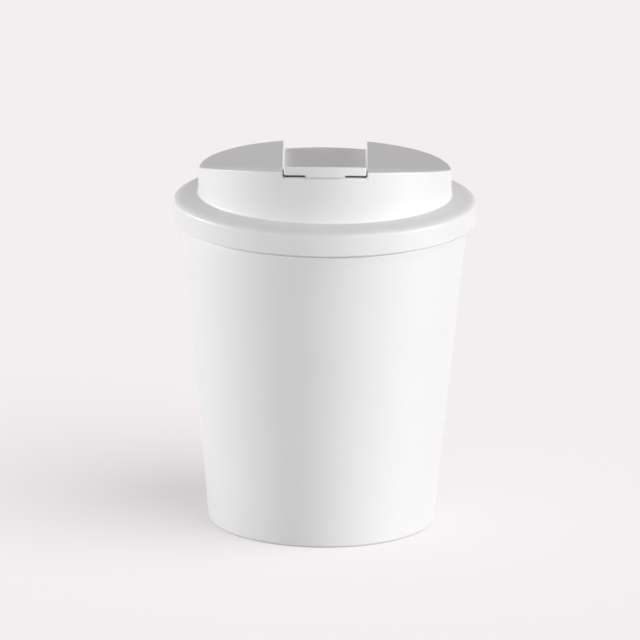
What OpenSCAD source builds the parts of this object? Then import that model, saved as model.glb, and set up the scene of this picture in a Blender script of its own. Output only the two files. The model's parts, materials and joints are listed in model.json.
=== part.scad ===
// Insulated travel mug: a tapered double-wall cup and a screw-on lid with a flip cap.
// Origin at the centre of the base, +Z up, the drinking side faces -Y. All sizes in millimetres.

/* [Cup] */
// Inner radius of the cup's mouth
mouth_r = 37.6; // [34:0.1:42]
// Radius of the outer shell where it meets the table
base_r = 33.8; // [31:0.1:36]
// Height of the shoulder that the lid's skirt comes down to
shoulder_z = 91.4; // [70:0.1:120]
// Height of the threaded neck from the shoulder to the rim
neck_h = 5.6; // [4.5:0.1:8]
// Width of the shoulder, which is the depth left for the thread
shoulder_w = 1.5; // [1.2:0.1:3]
// Wall of the outer shell
shell_wall = 1.8; // [1.2:0.1:2.4]
// Wall of the neck
neck_wall = 1.6; // [1.2:0.1:2.4]
// Wall of the inner liner
liner_wall = 1.4; // [1:0.1:2]
// Air gap between the two walls at the bottom corner
air_gap = 1.6; // [1:0.1:3]
// Air gap between the liner and the neck
neck_gap = 0.4; // [0.2:0.1:1]
// Height of the liner's floor above the table
liner_floor_z = 8.4; // [7:0.1:14]
// Thickness of the liner's rolled rim
rim_t = 1.2; // [1:0.1:2]
// Rounding of the rim's edges
rim_round = 0.5; // [0.2:0.1:0.5]
// Rounding of the liner's bottom corner, inside
liner_round = 6; // [3:0.5:10]
// Depth of the hollow under the base
foot_h = 2.0; // [1:0.1:3]
// Width of the foot ring
foot_w = 2.4; // [1.6:0.1:5]
// Rounding of the foot's outer edge
foot_round = 1.0; // [0.3:0.1:1.4]
// Rounding of the shoulder's edge
shoulder_round = 0.5; // [0.2:0.1:0.8]

/* [Lid] */
// Wall of the lid's drum and top
lid_wall = 1.8; // [1.2:0.1:2.4]
// Wall of the skirt that covers the thread
skirt_wall = 2.0; // [1.4:0.1:3]
// Wall of the collar that dips into the mouth
collar_wall = 1.2; // [1:0.1:2]
// Depth of that collar below the lid's flange
collar_h = 4.8; // [3:0.1:8]
// Thickness of the flange around the drum
flange_t = 2.0; // [1.4:0.1:3]
// Height of the flange's rounded outer edge
flange_round = 2.3; // [1:0.1:2.6]
// Rounding of the skirt's lower edge
skirt_round = 0.6; // [0.2:0.1:0.9]
// Height of the wings' flat back half above the flange
wing_h = 7.3; // [5.5:0.1:12]
// Height of the drinking edge above the flange
drink_h = 16.2; // [13:0.1:22]
// Place of the fold between the flat and the rising half of the wings
fold_y = 1.5; // [0:0.1:4]
// Width of the slot that the cap lies in
slot_w = 24.8; // [18:0.1:30]
// Depth of the slot's back half, where the opened cap lies
recess_depth = 2.5; // [2.2:0.1:4]
// Floor of the slot
floor_t = 1.8; // [1.2:0.1:2.4]
// Wall of the cheeks at the sides of the slot
cheek_wall = 1.8; // [1.4:0.1:2.6]
// Rounding where the slot's floor meets the drinking edge
drink_round = 1.2; // [0.4:0.1:1.6]

/* [Flip cap] */
// Thickness of the cap
cap_t = 2.6; // [2:0.1:3]
// Radius of the hinge's barrel
barrel_r = 1.62; // [1.5:0.02:1.8]
// Height of the cap's lip above the wings' drinking edge
lip_rise = 1.35; // [0.8:0.05:2]
// Reach of the lip past the drum
lip_reach = 0.9; // [0.6:0.05:2]
// Gap between the lip and the drinking edge
lip_gap = 0.35; // [0.3:0.05:0.6]
// Place of the hinge, front to back
hinge_y = -3.0; // [-5:0.1:-2]
// Radius of the hinge pins
pin_r = 1.0; // [0.7:0.05:1.1]
// Length of each hinge pin
pin_len = 1.6; // [1.2:0.1:2]
// Width of the snap catch under the lip
catch_w = 11.7; // [6:0.1:16]
// Height of the snap catch
catch_h = 0.6; // [0.3:0.1:1]

/* [Drinking hole and stopper] */
// Width of the drinking hole, across
hole_w = 12; // [8:0.1:16]
// Width of the drinking hole, front to back
hole_d = 5.6; // [4.5:0.1:7]
// Distance from the drum's front to the middle of the drinking hole
hole_inset = 8.0; // [7:0.1:12]
// How far the stopper sticks out below the hole
stopper_out = 0.6; // [0.2:0.1:1.5]
// Radius of the post that carries the stopper
post_r = 1.4; // [1:0.1:1.6]
// Length of that post
post_len = 1.8; // [1:0.1:2]
// Radius of the air vent
vent_r = 0.8; // [0.5:0.1:1.2]
// Distance from the hinge to the air vent
vent_reach = 11; // [8:0.1:16]

/* [Sealing ring] */
// Height of the sealing ring
seal_h = 0.9; // [0.7:0.1:1.6]
// Width of the sealing ring
seal_w = 3.2; // [2.4:0.1:3.4]

/* [Clearances] */
// Between the collar and the mouth
mouth_clear = 0.5; // [0.3:0.05:0.8]
// Between the skirt and the outer shell
skirt_clear = 0.5; // [0.3:0.05:0.8]
// Between the skirt's lower edge and the shoulder
skirt_gap = 0.6; // [0.4:0.05:1]
// Between the sealing ring and the rim
seal_gap = 0.3; // [0.2:0.05:0.5]
// Between the sealing ring and the lid
seal_seat = 0.1; // [0.05:0.05:0.2]
// Between each side of the cap and its slot
cap_clear = 0.3; // [0.2:0.05:0.5]
// Between the hinge's barrel or the opened cap and the slot's floor
fold_clear = 0.25; // [0.2:0.05:0.4]
// Around the hinge pins
pin_clear = 0.05; // [0.02:0.01:0.1]
// Around the stopper
stopper_clear = 0.4; // [0.35:0.05:0.6]
// Between the snap catch and the drum
catch_clear = 0.25; // [0.2:0.05:0.4]

/* [Hidden] */
$fn = 120;
arc_steps = 8;
far = 400;
cut = 1;

collar_r = mouth_r - mouth_clear;
drum_in_r = collar_r - collar_wall;
drum_r = drum_in_r + lid_wall;
neck_in_r = mouth_r + liner_wall + neck_gap;
neck_r = neck_in_r + neck_wall;
shoulder_r = neck_r + shoulder_w;
skirt_in_r = shoulder_r + skirt_clear;
lid_r = skirt_in_r + skirt_wall;

rim_z = shoulder_z + neck_h;
neck_top_z = rim_z - rim_t;
skirt_z = shoulder_z + skirt_gap;
seal_z = rim_z + seal_gap;
flange_z = seal_z + seal_h + seal_seat;
flange_top_z = flange_z + flange_t;
collar_z = flange_z - collar_h;
wing_z = flange_top_z + wing_h;
drink_z = flange_top_z + drink_h;
wing_rise = (drink_z - wing_z) / (fold_y + drum_r);
recess_z = wing_z - recess_depth;

lip_r = drum_r + lip_reach;
lip_z = drink_z + lip_rise;
hinge_z = recess_z + fold_clear + barrel_r;
// The cap's top touches the barrel and runs up to the lip.
lip_forward = lip_r + hinge_y;
lip_up = lip_z - hinge_z;
cap_slope = atan(lip_up / lip_forward) - asin(barrel_r / norm([lip_forward, lip_up]));
cap_rise = tan(cap_slope);
hole_reach = (drum_r + hinge_y - hole_inset) / cos(cap_slope);
cap_w = slot_w - 2 * cap_clear;
channel_y = hinge_y - 2 * fold_clear;
channel_front_z = lip_z - cap_rise * lip_reach - cap_t / cos(cap_slope) - lip_gap;
channel_rise = (channel_front_z - recess_z) / (drum_r + channel_y);

shell_rise = (shoulder_r - base_r) / shoulder_z;
shell_lean = atan(shell_rise);
liner_base_r = base_r - shell_wall - air_gap;
liner_top_r = mouth_r + liner_wall;
liner_base_z = liner_floor_z - liner_wall;
liner_rise = (liner_top_r - liner_base_r) / (neck_top_z - liner_base_z);
liner_lean = atan(liner_rise);
shell_floor_z = foot_h + shell_wall;

function arc(centre, rx, ry, from, to, steps = arc_steps) =
    [for (i = [0:steps])
        let (a = from + (to - from) * i / steps)
        [centre[0] + rx * cos(a), centre[1] + ry * sin(a)]];
function shell_r(z) = base_r + shell_rise * z;
function liner_r(z) = liner_base_r + liner_rise * (z - liner_base_z);
// Centre of a rounding of radius r that touches a leaning wall and the plane at z.
function corner(wall_r, lean, z, r) = [wall_r - r / cos(lean), z + r];

module along_x(width) {
    rotate([90, 0, 90]) linear_extrude(height = width, center = true) children();
}

module in_cap_frame() {
    translate([0, hinge_y, hinge_z]) rotate([-cap_slope, 0, 0]) children();
}

module oblong(width, depth, height) {
    side = (width - depth) / 2;
    translate([-side, -depth / 2, 0]) cube([2 * side, depth, height]);
    for (x = [-side, side]) translate([x, 0, 0]) cylinder(r = depth / 2, h = height);
}

module outer_shell() {
    foot_centre = corner(shell_r(foot_round), shell_lean, 0, foot_round);
    inner_top_z = shoulder_z - 2 * shell_wall;
    color("white") rotate_extrude() polygon(concat(
        [[0, foot_h], [base_r - foot_w - foot_h / 2, foot_h], [base_r - foot_w, 0]],
        arc(foot_centre, foot_round, foot_round, -90, -shell_lean),
        arc([shoulder_r - shoulder_round, shoulder_z - shoulder_round], shoulder_round, shoulder_round, 0, 90),
        [[neck_r, shoulder_z], [neck_r, neck_top_z], [neck_in_r, neck_top_z],
         [neck_in_r, shoulder_z - shell_wall], [shell_r(inner_top_z) - shell_wall, inner_top_z],
         [shell_r(shell_floor_z) - shell_wall, shell_floor_z], [0, shell_floor_z]]));
}

module inner_liner() {
    out_round = liner_round + liner_wall;
    out_centre = corner(liner_r(liner_base_z + out_round), liner_lean, liner_base_z, out_round);
    in_centre = corner(liner_r(liner_floor_z + liner_round) - liner_wall, liner_lean, liner_floor_z, liner_round);
    color("white") rotate_extrude() polygon(concat(
        [[0, liner_base_z]],
        arc(out_centre, out_round, out_round, -90, -liner_lean),
        [[liner_top_r, neck_top_z], [neck_r, neck_top_z]],
        arc([neck_r - rim_round, rim_z - rim_round], rim_round, rim_round, 0, 90),
        arc([mouth_r + rim_round, rim_z - rim_round], rim_round, rim_round, 90, 180),
        arc(in_centre, liner_round, liner_round, -liner_lean, -90),
        [[0, liner_floor_z]]));
}

// Everything under the wings' top, lowered by a drop.
module under_wings(drop) {
    along_x(far) polygon([
        [-far / 2, 0], [far / 2, 0], [far / 2, wing_z - drop], [fold_y, wing_z - drop],
        [-far / 2, wing_z - drop + wing_rise * (fold_y + far / 2)]]);
}

// Everything over the slot's floor, lowered by a drop.
module over_floor(width, drop) {
    along_x(width) polygon([
        [far / 2, recess_z - drop], [far / 2, far], [-far / 2, far],
        [-far / 2, recess_z - drop + channel_rise * (channel_y + far / 2)], [channel_y, recess_z - drop]]);
}

module lid_ring() {
    rotate_extrude() polygon(concat(
        [[drum_in_r, flange_z + cut], [drum_in_r, collar_z], [collar_r, collar_z], [collar_r, flange_z],
         [skirt_in_r, flange_z], [skirt_in_r, skirt_z]],
        arc([lid_r - skirt_round, skirt_z + skirt_round], skirt_round, skirt_round, -90, 0),
        arc([drum_r, flange_top_z - flange_round], lid_r - drum_r, flange_round, 0, 90),
        [[drum_in_r, flange_top_z]]));
}

module drum() {
    difference() {
        intersection() {
            translate([0, 0, flange_z]) cylinder(r = drum_r, h = 2 * drink_h);
            under_wings(0);
        }
        difference() {
            intersection() {
                translate([0, 0, flange_z - cut]) cylinder(r = drum_in_r, h = 2 * drink_h);
                under_wings(lid_wall);
            }
            over_floor(slot_w + 2 * cheek_wall, floor_t);
        }
    }
}

// What is cut away to round the front edge of the slot's floor.
module drinking_edge() {
    intersection() {
        rotate_extrude() difference() {
            translate([drum_r - drink_round, channel_front_z - drink_round]) square(2 * drink_round);
            translate([drum_r - drink_round, channel_front_z - drink_round]) circle(r = drink_round);
        }
        translate([-slot_w / 2, -far / 2, 0]) cube([slot_w, far / 2, far]);
    }
}

module lid_body() {
    color("white") difference() {
        union() {
            lid_ring();
            drum();
        }
        over_floor(slot_w, 0);
        drinking_edge();
        translate([0, hinge_y, hinge_z]) rotate([0, 90, 0])
            cylinder(r = pin_r + pin_clear, h = slot_w + 2 * cheek_wall + 2 * cut, center = true);
        in_cap_frame() translate([0, -hole_reach, -drink_h]) oblong(hole_w, hole_d, drink_h);
        in_cap_frame() translate([0, -vent_reach, -drink_h]) cylinder(r = vent_r, h = drink_h);
    }
}

module sealing_ring() {
    mid_r = collar_r + seal_seat + seal_w / 2;
    side = (seal_w - seal_h) / 2;
    color("gainsboro") rotate_extrude() {
        translate([mid_r - side, seal_z]) square([2 * side, seal_h]);
        for (x = [-side, side]) translate([mid_r + x, seal_z + seal_h / 2]) circle(d = seal_h);
    }
}

// The cap's section: a plate that ends in the hinge's barrel.
module cap_plate(underside) {
    along_x(cap_w) polygon(concat(
        [[-far / 2, underside], [-far / 2, barrel_r]],
        arc([0, 0], barrel_r, barrel_r, 90, asin(-underside / barrel_r) - 180, 3 * arc_steps)));
}

module snap_catch(underside) {
    difference() {
        in_cap_frame() translate([-catch_w / 2, -far / 2, underside - catch_h])
            cube([catch_w, far / 2 - hole_reach, catch_h + cap_t / 2]);
        cylinder(r = drum_r + catch_clear, h = drink_z);
    }
}

module flip_cap() {
    underside = barrel_r - cap_t;
    color("white") union() {
        intersection() {
            union() {
                in_cap_frame() cap_plate(underside);
                snap_catch(underside);
            }
            translate([0, 0, flange_top_z]) cylinder(r = lip_r, h = 2 * drink_h);
        }
        translate([0, hinge_y, hinge_z]) rotate([0, 90, 0])
            cylinder(r = pin_r, h = cap_w + 2 * pin_len, center = true);
        in_cap_frame() translate([0, -hole_reach, underside - post_len])
            cylinder(r = post_r, h = post_len + cap_t / 2);
    }
}

module stopper() {
    underside = barrel_r - cap_t;
    depth = lip_gap + floor_t + stopper_out + fold_clear;
    color("gainsboro") in_cap_frame() translate([0, -hole_reach, underside - depth]) difference() {
        oblong(hole_w - 2 * stopper_clear, hole_d - 2 * stopper_clear, depth);
        translate([0, 0, depth - post_len - pin_clear]) cylinder(r = post_r + pin_clear, h = post_len + cut);
    }
}

outer_shell();
inner_liner();
lid_body();
sealing_ring();
flip_cap();
stopper();
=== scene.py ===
# %% [markdown]
# # A travel mug in white moulded plastic
# The mug is a tapered double-wall cup with a screw-on lid and a flip cap. Its pieces are packed as
# exact solids, and this lesson dresses them: each visible piece is modelled again with softly rounded
# edges, exactly where its solid lies, and gets a plastic or silicone finish.

# %% Load the frame
import json
from math import asin, atan, atan2, cos, degrees, radians, sin, sqrt, tan

import bpy
from mathutils import Euler, Matrix, Vector


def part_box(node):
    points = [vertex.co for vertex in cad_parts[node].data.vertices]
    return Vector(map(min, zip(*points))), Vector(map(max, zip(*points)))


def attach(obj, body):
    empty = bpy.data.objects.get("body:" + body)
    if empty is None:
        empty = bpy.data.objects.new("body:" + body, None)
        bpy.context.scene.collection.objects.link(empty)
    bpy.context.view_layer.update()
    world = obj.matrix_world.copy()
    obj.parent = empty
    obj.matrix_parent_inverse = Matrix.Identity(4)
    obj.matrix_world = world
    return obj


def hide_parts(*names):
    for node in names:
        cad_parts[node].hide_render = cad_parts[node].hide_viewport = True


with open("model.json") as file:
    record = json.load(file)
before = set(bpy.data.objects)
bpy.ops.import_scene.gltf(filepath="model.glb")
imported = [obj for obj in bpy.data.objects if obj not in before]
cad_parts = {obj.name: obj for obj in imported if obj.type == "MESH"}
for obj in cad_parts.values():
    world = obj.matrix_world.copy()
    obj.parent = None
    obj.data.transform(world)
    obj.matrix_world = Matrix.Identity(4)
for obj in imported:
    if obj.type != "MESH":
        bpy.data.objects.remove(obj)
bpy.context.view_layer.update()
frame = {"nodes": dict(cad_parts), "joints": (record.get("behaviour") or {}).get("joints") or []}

# %% [markdown]
# ## The mug's sizes
# All sizes below are millimetres, as a moulder would write them, and MM turns them into Blender's
# metres. Heights and radii that the frame already holds are read from it, so the pieces can't drift
# from the solids.

# %% Sizes of the mug
MM = 0.001


def node_size(node, corner, axis):
    return round(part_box(node)[corner][axis] / MM, 2)


rim_z = node_size("inner_liner", 1, 2)
neck_r = node_size("inner_liner", 1, 0)
shoulder_r = node_size("outer_shell", 1, 0)
neck_top_z = node_size("outer_shell", 1, 2)
lid_r = node_size("lid_body", 1, 0)
collar_z = node_size("lid_body", 0, 2)
seal_low_z = node_size("sealing_ring", 0, 2)
seal_high_z = node_size("sealing_ring", 1, 2)
drink_z = node_size("lid_body", 1, 2)
lip_z = node_size("flip_cap", 1, 2)
print(f"rim at {rim_z} mm, lid {2 * lid_r} mm across, lip at {lip_z} mm")

# %% [markdown]
# ## The camera
# The photograph is taken from about 15 degrees above the table with a long lens, 2.5 metres away, so
# the mug's walls run nearly parallel. A long lens is set by its focal length: the pixels that one
# radian covers, times the sensor's width, over the picture's width. The mug leans a little to the
# right in the picture, so the camera is rolled by that much.

# %% Camera
PICTURE_W = 640
SENSOR_MM = 36
PIXELS_PER_RADIAN = 8434
CAMERA_PLACE = Vector((0, -2.436, 0.712))
CAMERA_DOWN = 14.96
CAMERA_YAW = 0.0246
CAMERA_ROLL = 0.62

lens = bpy.data.cameras.new("studio_lens")
lens.sensor_width = SENSOR_MM
lens.lens = PIXELS_PER_RADIAN * SENSOR_MM / PICTURE_W
lens.clip_end = 60
camera = bpy.data.objects.new("camera", lens)
bpy.context.scene.collection.objects.link(camera)
aim = Euler((radians(90 - CAMERA_DOWN), 0, radians(CAMERA_YAW))).to_matrix()
camera.matrix_world = (Matrix.Translation(CAMERA_PLACE)
                       @ (aim @ Matrix.Rotation(radians(CAMERA_ROLL), 3, "Z")).to_4x4())
bpy.context.scene.camera = camera
print(f"camera: {lens.lens:.0f} mm lens, {CAMERA_DOWN} degrees down")

# %% [markdown]
# ## The floor and its colour
# The studio floor and backdrop are one pale, slightly warm grey with no horizon. A disc as wide as
# the room does for both. Its diffuse part takes the mug's soft shadow. An emission that only camera,
# glossy and transmission rays see lifts it to the backdrop's colour, so it throws no light of its own
# on the mug.

# %% Floor
BACKDROP = (0.896, 0.855, 0.871, 1)
FLOOR_R = 30
FLOOR_GREY = 0.18
FLOOR_LIFT = 0.687


def seen_directly(tree):
    """1 for camera, glossy and transmission rays, 0 for the light that lamps and surfaces throw."""
    path = tree.nodes.new("ShaderNodeLightPath")
    total = path.outputs["Is Camera Ray"]
    for ray in ("Is Glossy Ray", "Is Transmission Ray"):
        either = tree.nodes.new("ShaderNodeMath")
        either.operation = "MAXIMUM"
        tree.links.new(total, either.inputs[0])
        tree.links.new(path.outputs[ray], either.inputs[1])
        total = either.outputs[0]
    return total


def floor_material():
    material = bpy.data.materials.new("studio_floor")
    material.use_nodes = True
    tree = material.node_tree
    paint = tree.nodes["Principled BSDF"]
    paint.inputs["Base Color"].default_value = tuple(FLOOR_GREY * c for c in BACKDROP[:3]) + (1,)
    paint.inputs["Roughness"].default_value = 1
    paint.inputs["Specular IOR Level"].default_value = 0
    paint.inputs["Emission Color"].default_value = BACKDROP
    lift = tree.nodes.new("ShaderNodeMath")
    lift.operation = "MULTIPLY"
    lift.inputs[1].default_value = FLOOR_LIFT
    tree.links.new(seen_directly(tree), lift.inputs[0])
    tree.links.new(lift.outputs[0], paint.inputs["Emission Strength"])
    return material


bpy.ops.mesh.primitive_circle_add(vertices=64, radius=FLOOR_R, fill_type="NGON", location=(0, 0, 0))
floor = bpy.context.object
floor.name = "floor"
floor.data.materials.append(floor_material())
print("floor and backdrop are one disc")

# %% [markdown]
# ## The light
# The mug is lit from low on the right and low on the left, with a weaker low light from the front
# left and one from higher up. So its sides are palest, a grey band runs down the front left of the
# middle, and the top is mid grey. A sun lights the whole floor evenly, and its angle sets how soft
# its shadow is. Light linking says which things a sun lights: one high sun lights only the floor and
# draws the short soft shadow, and the others light only the mug, so the low ones draw no long shadows.

# %% Lights
SUNS = [
    # name, bearing from the camera's side, height, strength, spread, lights the floor; in degrees
    ("shadow_light", 58, 54, 6.6, 60, True),
    ("top_light", 50, 50, 0.58, 28, False),
    ("right_light", 81, 5, 3.35, 22, False),
    ("left_light", -107, 6, 2.5, 26, False),
    ("front_left_light", -26, 3, 2.2, 26, False),
]
SKY_LIGHT = 0.05

mug_pieces = bpy.data.collections.new("mug_pieces")
floor_pieces = bpy.data.collections.new("floor_pieces")
floor_pieces.objects.link(floor)
for name, bearing, height, strength, spread, lights_floor in SUNS:
    sun = bpy.data.lights.new(name, "SUN")
    sun.energy = strength
    sun.angle = radians(spread)
    holder = bpy.data.objects.new(name, sun)
    bpy.context.scene.collection.objects.link(holder)
    towards = Vector((sin(radians(bearing)) * cos(radians(height)),
                      -cos(radians(bearing)) * cos(radians(height)), sin(radians(height))))
    holder.rotation_euler = towards.to_track_quat("Z", "Y").to_euler()
    holder.light_linking.receiver_collection = floor_pieces if lights_floor else mug_pieces
print("lights:", [name for name, *settings in SUNS])

# %% [markdown]
# The world's colour is the backdrop's. Rays that see it directly get it at full strength, and as a
# light on the mug it is only a faint sky.

# %% Sky
world = bpy.data.worlds.new("studio")
bpy.context.scene.world = world
world.use_nodes = True
sky = world.node_tree.nodes["Background"]
sky.inputs["Color"].default_value = BACKDROP
sky_strength = world.node_tree.nodes.new("ShaderNodeMixRGB")
sky_strength.inputs[1].default_value = (SKY_LIGHT,) * 3 + (1,)
sky_strength.inputs[2].default_value = (1, 1, 1, 1)
world.node_tree.links.new(seen_directly(world.node_tree), sky_strength.inputs[0])
world.node_tree.links.new(sky_strength.outputs[0], sky.inputs["Strength"])
bpy.context.scene.view_settings.view_transform = "Standard"
print(f"sky light {SKY_LIGHT}")

# %% [markdown]
# ## The plastic
# The cup, the lid and the cap are white polypropylene with a satin skin. Under a lens it isn't plain:
# the mould's fine texture breaks up the gloss, and the colour drifts a little where the plastic
# flowed. Both come from noise on the Object coordinates, so they stay put on each piece.

# %% Moulded plastic
WHITE = (0.86, 0.86, 0.865)
# The lid and the cap are the same white plastic as the cup. Their white is set a little darker as
# painted shade, standing in for the shade on the drum's wall.
SHADED_LID_WHITE = (0.835, 0.835, 0.84)
SILICONE_GREY = (0.72, 0.73, 0.74)
GRAIN_PER_M = 2600
GRAIN_DEPTH = 0.02
FLOW_PER_M = 45
FLOW_SHADE = 0.985
ROUGHNESS_DRIFT = 0.03
SOFT_DEPTH = 1.5
# Noise stays mostly between these values, so they are spread over the whole range.
NOISE_LOW, NOISE_HIGH = 0.3, 0.7


def moulded_plastic(name, colour, roughness, grain=0.05, softness=0.0):
    """A satin plastic with a fine grain. softness lets some light under the skin, as in silicone."""
    material = bpy.data.materials.new(name)
    material.use_nodes = True
    tree = material.node_tree
    plastic = tree.nodes["Principled BSDF"]
    place = tree.nodes.new("ShaderNodeTexCoord")

    def noise(per_metre, detail):
        made = tree.nodes.new("ShaderNodeTexNoise")
        made.inputs["Scale"].default_value = per_metre
        made.inputs["Detail"].default_value = detail
        tree.links.new(place.outputs["Object"], made.inputs["Vector"])
        return made.outputs["Fac"]

    def spread(value, low, high):
        made = tree.nodes.new("ShaderNodeMapRange")
        made.inputs["From Min"].default_value = NOISE_LOW
        made.inputs["From Max"].default_value = NOISE_HIGH
        made.inputs["To Min"].default_value = low
        made.inputs["To Max"].default_value = high
        tree.links.new(value, made.inputs["Value"])
        return made.outputs["Result"]

    flow = noise(FLOW_PER_M, detail=3)
    grain_height = noise(GRAIN_PER_M, detail=2)
    tint = tree.nodes.new("ShaderNodeMixRGB")
    tint.inputs[1].default_value = tuple(FLOW_SHADE * c for c in colour) + (1,)
    tint.inputs[2].default_value = tuple(colour) + (1,)
    tree.links.new(spread(flow, 0, 1), tint.inputs[0])
    tree.links.new(tint.outputs[0], plastic.inputs["Base Color"])
    drift = spread(grain_height, roughness - ROUGHNESS_DRIFT, roughness + ROUGHNESS_DRIFT)
    tree.links.new(drift, plastic.inputs["Roughness"])
    bump = tree.nodes.new("ShaderNodeBump")
    bump.inputs["Strength"].default_value = grain
    bump.inputs["Distance"].default_value = GRAIN_DEPTH * MM
    tree.links.new(grain_height, bump.inputs["Height"])
    tree.links.new(bump.outputs["Normal"], plastic.inputs["Normal"])
    plastic.inputs["Subsurface Weight"].default_value = softness
    plastic.inputs["Subsurface Radius"].default_value = (1, 1, 1)
    plastic.inputs["Subsurface Scale"].default_value = SOFT_DEPTH * MM
    return material


cup_plastic = moulded_plastic("cup_plastic", WHITE, roughness=0.42)
lid_plastic = moulded_plastic("lid_plastic", SHADED_LID_WHITE, roughness=0.36)
liner_plastic = moulded_plastic("liner_plastic", WHITE, roughness=0.3)
silicone = moulded_plastic("silicone", SILICONE_GREY, roughness=0.5, grain=0.1, softness=0.3)
finishes = {"outer_shell": cup_plastic, "inner_liner": liner_plastic, "lid_body": lid_plastic,
            "flip_cap": lid_plastic, "sealing_ring": silicone, "stopper": silicone}
for node, finish in finishes.items():
    frame["nodes"][node].data.materials.clear()
    frame["nodes"][node].data.materials.append(finish)
    mug_pieces.objects.link(frame["nodes"][node])
print("finishes:", len(bpy.data.materials))

# %% [markdown]
# ## Two ways to make a moulded wall
# Nearly every piece of the mug is round. On a lathe one would turn it, and here it is raised the same
# way: a circle is added at the first station of the profile, then extruded and scaled from station to
# station. The other tool is a prism: a disc with one corner for each corner of the outline is pulled
# onto that outline, and extruded across the mug. The prisms serve as cutters for the slot and the
# slopes of the lid. Cuts and additions are made with the Boolean modifier's Manifold solver.

# %% Helpers for turned and extruded shapes
TURN_STEPS = 150
ARC_STEPS = 6
# Corners nearer to each other than this are merged, which closes the slivers that a cut can leave.
MERGE = 0.01
SHARP_ANGLE = 35
SMOOTH_ANGLE = 38


def deselect_all():
    if bpy.context.object and bpy.context.object.mode != "OBJECT":
        bpy.ops.object.mode_set(mode="OBJECT")
    bpy.ops.object.select_all(action="DESELECT")


def work_on(piece):
    deselect_all()
    piece.select_set(True)
    bpy.context.view_layer.objects.active = piece


def arc(centre, radii, start, end, steps=ARC_STEPS):
    """Stations on an arc or a quarter of an ellipse, from one angle to another, in degrees."""
    return [(centre[0] + radii[0] * cos(radians(start + (end - start) * i / steps)),
             centre[1] + radii[1] * sin(radians(start + (end - start) * i / steps)))
            for i in range(steps + 1)]


def edit_all(piece, operator, **settings):
    """Run one edit mode operator on the whole of a piece."""
    work_on(piece)
    bpy.ops.object.mode_set(mode="EDIT")
    bpy.ops.mesh.select_all(action="SELECT")
    operator(**settings)
    bpy.ops.object.mode_set(mode="OBJECT")


def clean_up(piece):
    """Merge doubles and turn all faces outwards."""
    edit_all(piece, bpy.ops.mesh.remove_doubles, threshold=MERGE * MM)
    edit_all(piece, bpy.ops.mesh.normals_make_consistent, inside=False)


def turned(name, stations, closed=False):
    """A turned solid: stations are (radius, height). closed joins the last ring to the first."""
    deselect_all()
    (radius, height), rest = stations[0], stations[1:]
    bpy.ops.mesh.primitive_circle_add(vertices=TURN_STEPS, radius=radius * MM,
                                      location=(0, 0, height * MM))
    piece = bpy.context.object
    piece.name = piece.data.name = name
    bpy.ops.object.transform_apply(location=True)
    bpy.ops.object.mode_set(mode="EDIT")
    bpy.ops.mesh.select_all(action="SELECT")
    if not closed:
        bpy.ops.mesh.edge_face_add()
    for next_radius, next_height in rest + ([stations[0]] if closed else []):
        bpy.ops.mesh.extrude_edges_move(
            TRANSFORM_OT_translate={"value": (0, 0, (next_height - height) * MM)})
        scale = next_radius / radius
        bpy.ops.transform.resize(value=(scale, scale, 1), center_override=(0, 0, next_height * MM))
        radius, height = next_radius, next_height
    if not closed:
        bpy.ops.mesh.edge_face_add()
    bpy.ops.object.mode_set(mode="OBJECT")
    clean_up(piece)
    return piece


def prism(name, outline, width, across="X", base=0.0):
    """An extruded solid. Across X the outline is (y, z) and centred; up Z it is (x, y) from base."""
    deselect_all()
    bpy.ops.mesh.primitive_circle_add(vertices=len(outline), radius=1, fill_type="NGON")
    piece = bpy.context.object
    piece.name = piece.data.name = name
    for vertex, (first, second) in zip(piece.data.vertices, outline):
        place = (-width / 2, first, second) if across == "X" else (first, second, base)
        vertex.co = Vector(place) * MM
    bpy.ops.object.mode_set(mode="EDIT")
    bpy.ops.mesh.select_all(action="SELECT")
    pull = (width * MM, 0, 0) if across == "X" else (0, 0, width * MM)
    bpy.ops.mesh.extrude_region_move(TRANSFORM_OT_translate={"value": pull})
    bpy.ops.object.mode_set(mode="OBJECT")
    clean_up(piece)
    return piece


def combine(piece, tool, operation):
    """Add a tool to a piece, cut it away, or keep what the two share. The tool is used up."""
    work_on(piece)
    step = piece.modifiers.new(operation.lower(), "BOOLEAN")
    step.operation, step.solver, step.object = operation, "MANIFOLD", tool
    bpy.ops.object.modifier_apply(modifier=step.name)
    bpy.data.objects.remove(tool)
    return piece


def split_faces(piece, place, normal):
    """Cut all faces along a plane, so that what is drilled or added there never lies inside one face."""
    edit_all(piece, bpy.ops.mesh.bisect, plane_co=Vector(place) * MM, plane_no=normal)


def round_edges(piece, width, steps=3):
    """Round every edge that turns by more than an angle, as a mould's corners are rounded."""
    clean_up(piece)
    work_on(piece)
    step = piece.modifiers.new("rounding", "BEVEL")
    step.width, step.segments, step.limit_method = width * MM, steps, "ANGLE"
    step.angle_limit = radians(SHARP_ANGLE)
    step.use_clamp_overlap = False
    step.miter_outer = "MITER_ARC"
    bpy.ops.object.modifier_apply(modifier=step.name)
    return piece


def finish_piece(piece, body, node, material):
    """Smooth the shading, give the finish, and say where the piece belongs."""
    clean_up(piece)
    work_on(piece)
    bpy.ops.object.shade_smooth_by_angle(angle=radians(SMOOTH_ANGLE))
    weights = piece.modifiers.new("weighted_normals", "WEIGHTED_NORMAL")
    weights.keep_sharp = True
    weights.weight = 60
    bpy.ops.object.modifier_apply(modifier=weights.name)
    piece.data.materials.clear()
    piece.data.materials.append(material)
    mug_pieces.objects.link(piece)
    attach(piece, body)
    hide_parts(node)
    deselect_all()
    size = [round(edge / MM, 1) for edge in piece.dimensions]
    print(f"{piece.name}: {len(piece.data.polygons)} faces, {size} mm")


def in_cap_frame(piece):
    """Turn a piece made flat at the origin onto the slope of the cap, about the hinge."""
    piece.data.transform(Matrix.Translation(HINGE * MM) @ Matrix.Rotation(-cap_slope, 4, "X"))
    return piece


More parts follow.
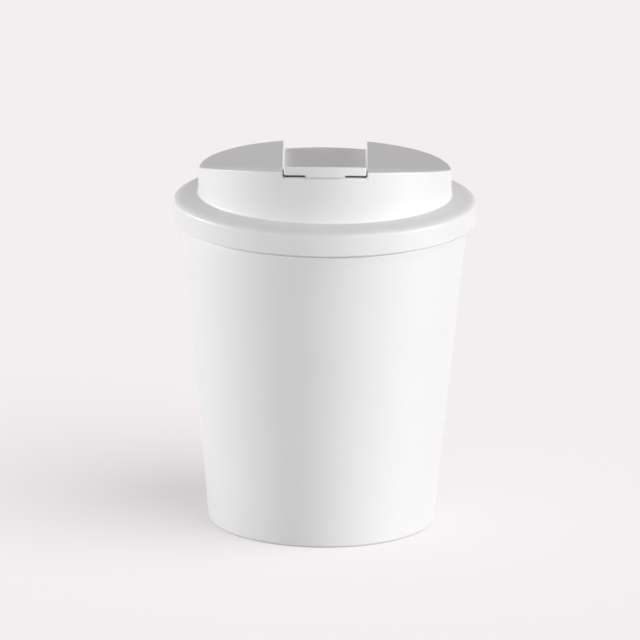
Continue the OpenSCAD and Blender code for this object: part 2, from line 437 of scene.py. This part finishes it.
# %% [markdown]
# ## The cup's outer wall
# The outer wall is one moulding: a foot ring round a shallow hollow, a straight taper, a shoulder
# where the lid's skirt ends, and a neck that carries the thread. It is one turned profile, read up
# the outside and down the inside.

# %% Cup wall
foot_hollow, foot_width, foot_round, foot_edge = 2.0, 2.4, 1.0, 0.15
shell_wall, neck_wall = 1.8, 1.6
base_r, shoulder_z = 33.8, 91.4
shoulder_round = 0.5
# The fillet where the neck stands on the shoulder, as (out from the neck, up from the shoulder).
neck_fillet = [(0.3, 0), (0.08, 0.1), (0, 0.4)]
shell_rise = (shoulder_r - base_r) / shoulder_z
shell_lean = degrees(atan(shell_rise))
shell_floor_z = foot_hollow + shell_wall
inner_top_z = shoulder_z - 2 * shell_wall


def shell_radius(height):
    return base_r + shell_rise * height


foot_centre = (shell_radius(foot_round) - foot_round / cos(radians(shell_lean)), foot_round)
shoulder_corner = (shoulder_r - shoulder_round, shoulder_z - shoulder_round)
cup_wall = turned("cup_wall", [
    (base_r - foot_width - foot_hollow / 2, foot_hollow), (base_r - foot_width, foot_edge),
    (base_r - foot_width + foot_edge, 0),
    *arc(foot_centre, (foot_round, foot_round), -90, -shell_lean),
    *arc(shoulder_corner, (shoulder_round, shoulder_round), 0, 90, 4),
    *[(neck_r + out, shoulder_z + up) for out, up in neck_fillet],
    (neck_r, neck_top_z), (neck_r - neck_wall, neck_top_z),
    (neck_r - neck_wall, shoulder_z - shell_wall),
    (shell_radius(inner_top_z) - shell_wall, inner_top_z),
    (shell_radius(shell_floor_z) - shell_wall, shell_floor_z)])
print("cup wall turned:", len(cup_wall.data.polygons), "faces")

# %% [markdown]
# ## The thread
# The lid turns on a quick thread: four short ridges on the neck and four in the skirt. A ridge is a
# small trapezoid swept along a helix with the Screw modifier, and its crest sinks to the wall at both
# ends. The ridges of the lid lie midway between those of the neck, so they are in mesh.

# %% Thread ridges
STARTS = 4
LEAD = 16.0
RIDGE_SWEEP = 50
RIDGE_LOW_Z = 92.85
RIDGE_H = 1.2
RIDGE_FOOT, RIDGE_CREST = 0.7, 0.3
RIDGE_STEPS = 30
# The share of a ridge over which its crest fades at each end, and the share that is left there.
RIDGE_FADE, RIDGE_END = 0.2, 0.02
SUNK = 0.15


def ridge(name, wall_r, outwards, bearing):
    """One thread ridge on a wall, fading out at both ends."""
    deselect_all()
    bpy.ops.mesh.primitive_circle_add(vertices=4, radius=1)
    piece = bpy.context.object
    piece.name = piece.data.name = name
    side = 1 if outwards else -1
    profile = [(-SUNK, -RIDGE_FOOT), (RIDGE_H, -RIDGE_CREST),
               (RIDGE_H, RIDGE_CREST), (-SUNK, RIDGE_FOOT)]
    for vertex, (out, up) in zip(piece.data.vertices, profile):
        vertex.co = Vector(((wall_r + side * out) * MM, 0, (RIDGE_LOW_Z + up) * MM))
    work_on(piece)
    sweep = piece.modifiers.new("sweep", "SCREW")
    sweep.axis, sweep.angle = "Z", radians(RIDGE_SWEEP)
    sweep.screw_offset = LEAD * RIDGE_SWEEP / 360 * MM
    sweep.steps = sweep.render_steps = RIDGE_STEPS
    sweep.use_smooth_shade = False
    bpy.ops.object.modifier_apply(modifier=sweep.name)
    for vertex in piece.data.vertices:
        turn = (degrees(atan2(vertex.co.y, vertex.co.x)) % 360) / RIDGE_SWEEP
        fade = min(1, min(turn, 1 - turn) / RIDGE_FADE + RIDGE_END)
        reach = Vector((vertex.co.x, vertex.co.y, 0))
        out = side * (reach.length / MM - wall_r)
        if out > 0:
            reach.length = (wall_r + side * out * fade) * MM
            vertex.co = Vector((reach.x, reach.y, vertex.co.z))
    bpy.ops.object.mode_set(mode="EDIT")
    bpy.ops.mesh.select_all(action="SELECT")
    bpy.ops.mesh.fill_holes(sides=0)
    bpy.ops.object.mode_set(mode="OBJECT")
    piece.data.transform(Matrix.Rotation(radians(bearing), 4, "Z"))
    clean_up(piece)
    return piece


for start in range(STARTS):
    combine(cup_wall, ridge("neck_ridge", neck_r, True, start * 360 / STARTS), "UNION")
finish_piece(cup_wall, "cup", "outer_shell", cup_plastic)

# %% [markdown]
# ## The liner
# The second wall holds the drink. It hangs in the outer wall from a flat rim, with an air gap all the
# way down, and its bottom corner is round so that it can be wiped clean. It is turned too: up the
# outside, over the rim, and down the inside.

# %% Liner
liner_wall, air_gap, neck_gap, rim_round = 1.4, 1.6, 0.4, 0.5
liner_floor_z, liner_round = 8.4, 6.0
mouth_r = neck_r - neck_wall - neck_gap - liner_wall
liner_base_z = liner_floor_z - liner_wall
liner_base_r = base_r - shell_wall - air_gap
liner_rise = (mouth_r + liner_wall - liner_base_r) / (neck_top_z - liner_base_z)
liner_lean = degrees(atan(liner_rise))


def leaning_corner(z, size, inset):
    """Centre of a rounding that touches the liner's leaning wall and the plane at z."""
    wall = liner_base_r + liner_rise * (z + size - liner_base_z) - inset
    return (wall - size / cos(radians(liner_lean)), z + size)


outer_corner = leaning_corner(liner_base_z, liner_round + liner_wall, 0)
inner_corner = leaning_corner(liner_floor_z, liner_round, liner_wall)
outer_size, inner_size = (liner_round + liner_wall,) * 2, (liner_round,) * 2
liner = turned("cup_liner", [
    *arc(outer_corner, outer_size, -90, -liner_lean),
    (mouth_r + liner_wall, neck_top_z), (neck_r, neck_top_z),
    *arc((neck_r - rim_round, rim_z - rim_round), (rim_round, rim_round), 0, 90, 4),
    *arc((mouth_r + rim_round, rim_z - rim_round), (rim_round, rim_round), 90, 180, 4),
    *arc(inner_corner, inner_size, -liner_lean, -90)])
finish_piece(liner, "cup", "inner_liner", liner_plastic)

# %% [markdown]
# ## The sealing ring
# A flat silicone ring lies in the lid, round the collar, and is pressed on the rim. Its section is a
# strip with two round edges, so the turned profile closes on itself.

# %% Sealing ring
seal_half = (seal_high_z - seal_low_z) / 2
seal_mid_z = seal_low_z + seal_half
seal_out_r = node_size("sealing_ring", 1, 0)
seal_w = 3.2
seal_in_r = seal_out_r - seal_w
ring_edge = (seal_half, seal_half)
ring = turned("seal_ring", [
    *arc((seal_out_r - seal_half, seal_mid_z), ring_edge, -90, 90, 8),
    *arc((seal_in_r + seal_half, seal_mid_z), ring_edge, 90, 270, 8)], closed=True)
finish_piece(ring, "seal", "sealing_ring", silicone)

# %% [markdown]
# ## The lid
# The lid is one moulding: a skirt that overhangs the neck, a flange with a broad soft edge, and a drum
# whose back half is flat and whose front half rises to the mouth. A slot runs through the front half
# and takes the cap. It is made as a mould maker would cut it: the turned outside, less the slope over
# the wings, less the space for the rim, less the hollow of the drum, less the slot.

# %% Sizes of the lid
skirt_wall, collar_wall, lid_wall, flange_t = 2.0, 1.2, 1.8, 2.0
skirt_round, flange_round = 0.6, 2.3
wing_h, fold_y, slot_w, recess_depth, floor_t = 7.3, 1.5, 24.8, 2.5, 1.8
cap_t, barrel_r, lip_gap = 2.6, 1.62, 0.35
skirt_gap, seal_gap, mouth_clear, channel_set_back = 0.6, 0.1, 0.5, 0.5
skirt_z = shoulder_z + skirt_gap
flange_z = seal_high_z + seal_gap
flange_top_z = flange_z + flange_t
skirt_in_r = lid_r - skirt_wall
collar_r = mouth_r - mouth_clear
drum_in_r = collar_r - collar_wall
drum_r = drum_in_r + lid_wall
wing_z = flange_top_z + wing_h
recess_z = wing_z - recess_depth
wing_rise = (drink_z - wing_z) / (fold_y + drum_r)
lip_r = -node_size("flip_cap", 0, 1)
HINGE = Vector([axis / MM for axis in next(
    joint["pos_m"] for joint in frame["joints"] if joint["name"] == "cap_flip")])
# The cap's slope is that of the line from the hinge to the lip's top edge, less the angle that the
# barrel's radius takes at that distance.
lip_forward, lip_up = lip_r + HINGE.y, lip_z - HINGE.z
cap_slope = atan(lip_up / lip_forward) - asin(barrel_r / sqrt(lip_forward ** 2 + lip_up ** 2))
channel_y = HINGE.y - channel_set_back
channel_front_z = lip_z - tan(cap_slope) * (lip_r - drum_r) - cap_t / cos(cap_slope) - lip_gap
channel_rise = (channel_front_z - recess_z) / (drum_r + channel_y)
# Cutters reach far past the mug, or a little past the wall that they cut.
FAR, PAST = 60, 5
# A foot is turned from a small ring outwards, so that cutting its middle away leaves plain quads.
DISC_R = 5
print(f"drum {2 * drum_r:.1f} mm across, cap slopes {degrees(cap_slope):.1f} degrees")

# %% Lid
def above_wings(drop):
    """All that lies over the wings' top, lowered by a drop."""
    return prism("slope", [
        (FAR, wing_z - drop), (fold_y, wing_z - drop),
        (-FAR, wing_z - drop + wing_rise * (fold_y + FAR)),
        (-FAR, 3 * FAR), (FAR, 3 * FAR)], 2 * FAR)


def over_floor(name, width, drop):
    """All that lies over the slot's floor, lowered by a drop."""
    return prism(name, [
        (FAR, recess_z - drop), (channel_y, recess_z - drop),
        (-FAR, recess_z - drop + channel_rise * (channel_y + FAR)),
        (-FAR, 3 * FAR), (FAR, 3 * FAR)], width)


foot_lap = 1
lid = turned("lid", [
    (DISC_R, skirt_z), (skirt_in_r - foot_lap, skirt_z),
    *arc((lid_r - skirt_round, skirt_z + skirt_round), (skirt_round, skirt_round), -90, 0, 4),
    *arc((drum_r, flange_top_z - flange_round), (lid_r - drum_r, flange_round), 0, 90, 16),
    (drum_r, drink_z + PAST)])
combine(lid, above_wings(0), "DIFFERENCE")
combine(lid, turned("rim_space", [
    (skirt_in_r, skirt_z - PAST), (skirt_in_r, flange_z), (collar_r, flange_z), (collar_r, collar_z),
    (DISC_R, collar_z)]), "DIFFERENCE")
hollow = turned("drum_space", [(drum_in_r, collar_z - PAST), (drum_in_r, drink_z + PAST)])
combine(hollow, above_wings(lid_wall), "DIFFERENCE")
combine(hollow, over_floor("slot_block", slot_w + 2 * lid_wall, floor_t), "DIFFERENCE")
combine(lid, hollow, "DIFFERENCE")
combine(lid, over_floor("slot", slot_w, 0), "DIFFERENCE")
print("lid cut:", len(lid.data.polygons), "faces")

# %% [markdown]
# A moulding has no knife edges. Every edge of the lid gets a small radius, and the edge that one
# drinks over gets a larger one. One Bevel modifier does both: it takes the larger radius, and a
# weight on each sharp edge says how much of it that edge gets.

# %% Soft edges of the lid
EDGE_ROUND = 0.5
DRINK_ROUND = 1.2
# How near an edge has to lie to count as being on the drum's outside, and on the slot's floor.
NEAR, CLOSE = 0.1, 0.02


def on_drinking_edge(place):
    """True at the front of the drum, where its outside meets the slot's floor."""
    x, y, z = (axis / MM for axis in place)
    floor_z = recess_z + channel_rise * (channel_y - y)
    at_front = y < -FAR / 3 and x * x + y * y > (drum_r - NEAR) ** 2
    return at_front and abs(x) < slot_w / 2 - NEAR and abs(z - floor_z) < CLOSE


clean_up(lid)
work_on(lid)
bpy.ops.object.mode_set(mode="EDIT")
bpy.ops.mesh.select_mode(type="EDGE")
bpy.ops.mesh.select_all(action="DESELECT")
bpy.ops.mesh.edges_select_sharp(sharpness=radians(SHARP_ANGLE))
bpy.ops.object.mode_set(mode="OBJECT")
weights = lid.data.attributes.new("bevel_weight_edge", "FLOAT", "EDGE")
for edge in lid.data.edges:
    middle = sum((lid.data.vertices[corner].co for corner in edge.vertices), Vector()) / 2
    if edge.select:
        weights.data[edge.index].value = 1 if on_drinking_edge(middle) else EDGE_ROUND / DRINK_ROUND
wide = sum(weight.value == 1 for weight in weights.data)
rounding = lid.modifiers.new("rounding", "BEVEL")
rounding.width, rounding.segments, rounding.limit_method = DRINK_ROUND * MM, 4, "WEIGHT"
rounding.use_clamp_overlap = False
rounding.miter_outer = "MITER_ARC"
bpy.ops.object.modifier_apply(modifier=rounding.name)
print(f"lid rounded: {wide} edges at the mouth, {len(lid.data.polygons)} faces")

# %% [markdown]
# The drinking hole, the air vent and the two bores of the hinge stay crisp, so they come after the
# rounding. The hole and the vent go square through the slot's sloping floor, and the bores take the
# cap's pins. Last, the ridges of the thread are added in the skirt.

# %% Holes and thread of the lid
HOLE_W, HOLE_D, HOLE_INSET = 12.0, 5.6, 8.0
VENT_R, VENT_REACH = 0.8, 11.0
PIN_R, PIN_CLEAR, BORE_PAST = 1.0, 0.05, 1
hole_reach = (drum_r + HINGE.y - HOLE_INSET) / cos(cap_slope)


def oblong(name, width, depth, height, top, steps=10):
    """A prism with two round ends, made flat, with its top at a height, at the drinking hole."""
    side = (width - depth) / 2
    outline = arc((side, -hole_reach), (depth / 2,) * 2, -90, 90, steps)
    outline += arc((-side, -hole_reach), (depth / 2,) * 2, 90, 270, steps)
    return prism(name, outline, height, across="Z", base=top - height)


def circle(centre, radius, steps):
    """The corners of a circle, each once."""
    return arc(centre, (radius, radius), 0, 360 - 360 / steps, steps - 1)


def pin(name, radius, length):
    """A round bar along the hinge's axis."""
    return prism(name, circle((HINGE.y, HINGE.z), radius, 40), length)


def bar(name, radius, reach, top, height):
    """An upright round bar, made flat in the cap's frame."""
    return prism(name, circle((0, -reach), radius, 32), height, across="Z", base=top - height)


split_faces(lid, (0, 0, 0), (1, 0, 0))
split_faces(lid, HINGE, (0, 1, 0))
combine(lid, pin("bores", PIN_R + PIN_CLEAR, slot_w + 2 * lid_wall + 2 * BORE_PAST), "DIFFERENCE")
combine(lid, in_cap_frame(oblong("drinking_hole", HOLE_W, HOLE_D, drink_z, 0)), "DIFFERENCE")
combine(lid, in_cap_frame(bar("vent", VENT_R, VENT_REACH, 0, drink_z)), "DIFFERENCE")
for start in range(STARTS):
    combine(lid, ridge("lid_ridge", skirt_in_r, False, (start + 0.5) * 360 / STARTS), "UNION")
finish_piece(lid, "lid", "lid_body", lid_plastic)

# %% [markdown]
# ## The cap
# The cap is a plate that thickens into a round barrel at its hinge. Its front edge overhangs the drum
# as a lip for the thumb, and a small catch under the lip snaps over the drum. The pins of the hinge
# and the post of the stopper are moulded on it. All of it is made level and then laid on its slope.

# %% Cap
CAP_CLEAR, CAP_ROUND = 0.3, 0.4
CATCH_W, CATCH_H, CATCH_CLEAR, CATCH_INSET, CATCH_ROUND = 11.7, 0.6, 0.25, 0.02, 0.12
CATCH_PAST = 1
PIN_LEN, POST_R, POST_LEN, END_ROUND = 1.6, 1.4, 1.8, 0.2
cap_w = slot_w - 2 * CAP_CLEAR
underside = barrel_r - cap_t
barrel_end = degrees(asin(-underside / barrel_r)) - 180
cap = in_cap_frame(prism("cap", [
    (-FAR, underside), (-FAR, barrel_r), *arc((0, 0), (barrel_r, barrel_r), 90, barrel_end, 18)], cap_w))
combine(cap, turned("lip_edge", [(lip_r, flange_top_z), (lip_r, lip_z + PAST)]), "INTERSECT")
round_edges(cap, CAP_ROUND)
print("cap plate:", len(cap.data.polygons), "faces")

# %% Catch, pins and post
catch = in_cap_frame(prism("catch", [
    (-FAR, underside - CATCH_H), (-FAR, 0), (-hole_reach, 0), (-hole_reach, underside - CATCH_H)],
    CATCH_W))
catch_r = lip_r - CATCH_INSET
combine(catch, turned("catch_edge", [(catch_r, flange_top_z), (catch_r, lip_z)]), "INTERSECT")
catch_back_r = drum_r + CATCH_CLEAR
combine(catch, turned("catch_back", [
    (catch_back_r, flange_top_z - CATCH_PAST), (catch_back_r, lip_z + PAST)]), "DIFFERENCE")
round_edges(catch, CATCH_ROUND, 2)
pins = pin("pins", PIN_R, cap_w + 2 * PIN_LEN)
post = in_cap_frame(bar("post", POST_R, hole_reach, 0, POST_LEN - underside))
for bar_end in (pins, post):
    round_edges(bar_end, END_ROUND, 2)
split_faces(cap, (0, 0, 0), (1, 0, 0))
split_faces(cap, HINGE, (0, 1, 0))
for moulded_on in (catch, pins, post):
    combine(cap, moulded_on, "UNION")
finish_piece(cap, "cap", "flip_cap", lid_plastic)

# %% [markdown]
# ## The stopper
# A plug of soft silicone sits on a post under the cap and closes the drinking hole. It is an oblong
# with soft edges, and a socket in its top takes the post.

# %% Stopper
STOPPER_CLEAR, STOPPER_OUT, FOLD_CLEAR, STOPPER_ROUND = 0.4, 0.6, 0.25, 0.35
socket_r, socket_depth, socket_past = POST_R + PIN_CLEAR, POST_LEN + PIN_CLEAR, 1
stopper_depth = lip_gap + floor_t + STOPPER_OUT + FOLD_CLEAR
stopper = oblong("stopper_plug", HOLE_W - 2 * STOPPER_CLEAR, HOLE_D - 2 * STOPPER_CLEAR,
                 stopper_depth, underside)
round_edges(stopper, STOPPER_ROUND)
in_cap_frame(stopper)
split_faces(stopper, (0, 0, 0), (1, 0, 0))
combine(stopper, in_cap_frame(bar("socket", socket_r, hole_reach, underside + socket_past,
                                  socket_depth + socket_past)), "DIFFERENCE")
finish_piece(stopper, "cap", "stopper", silicone)
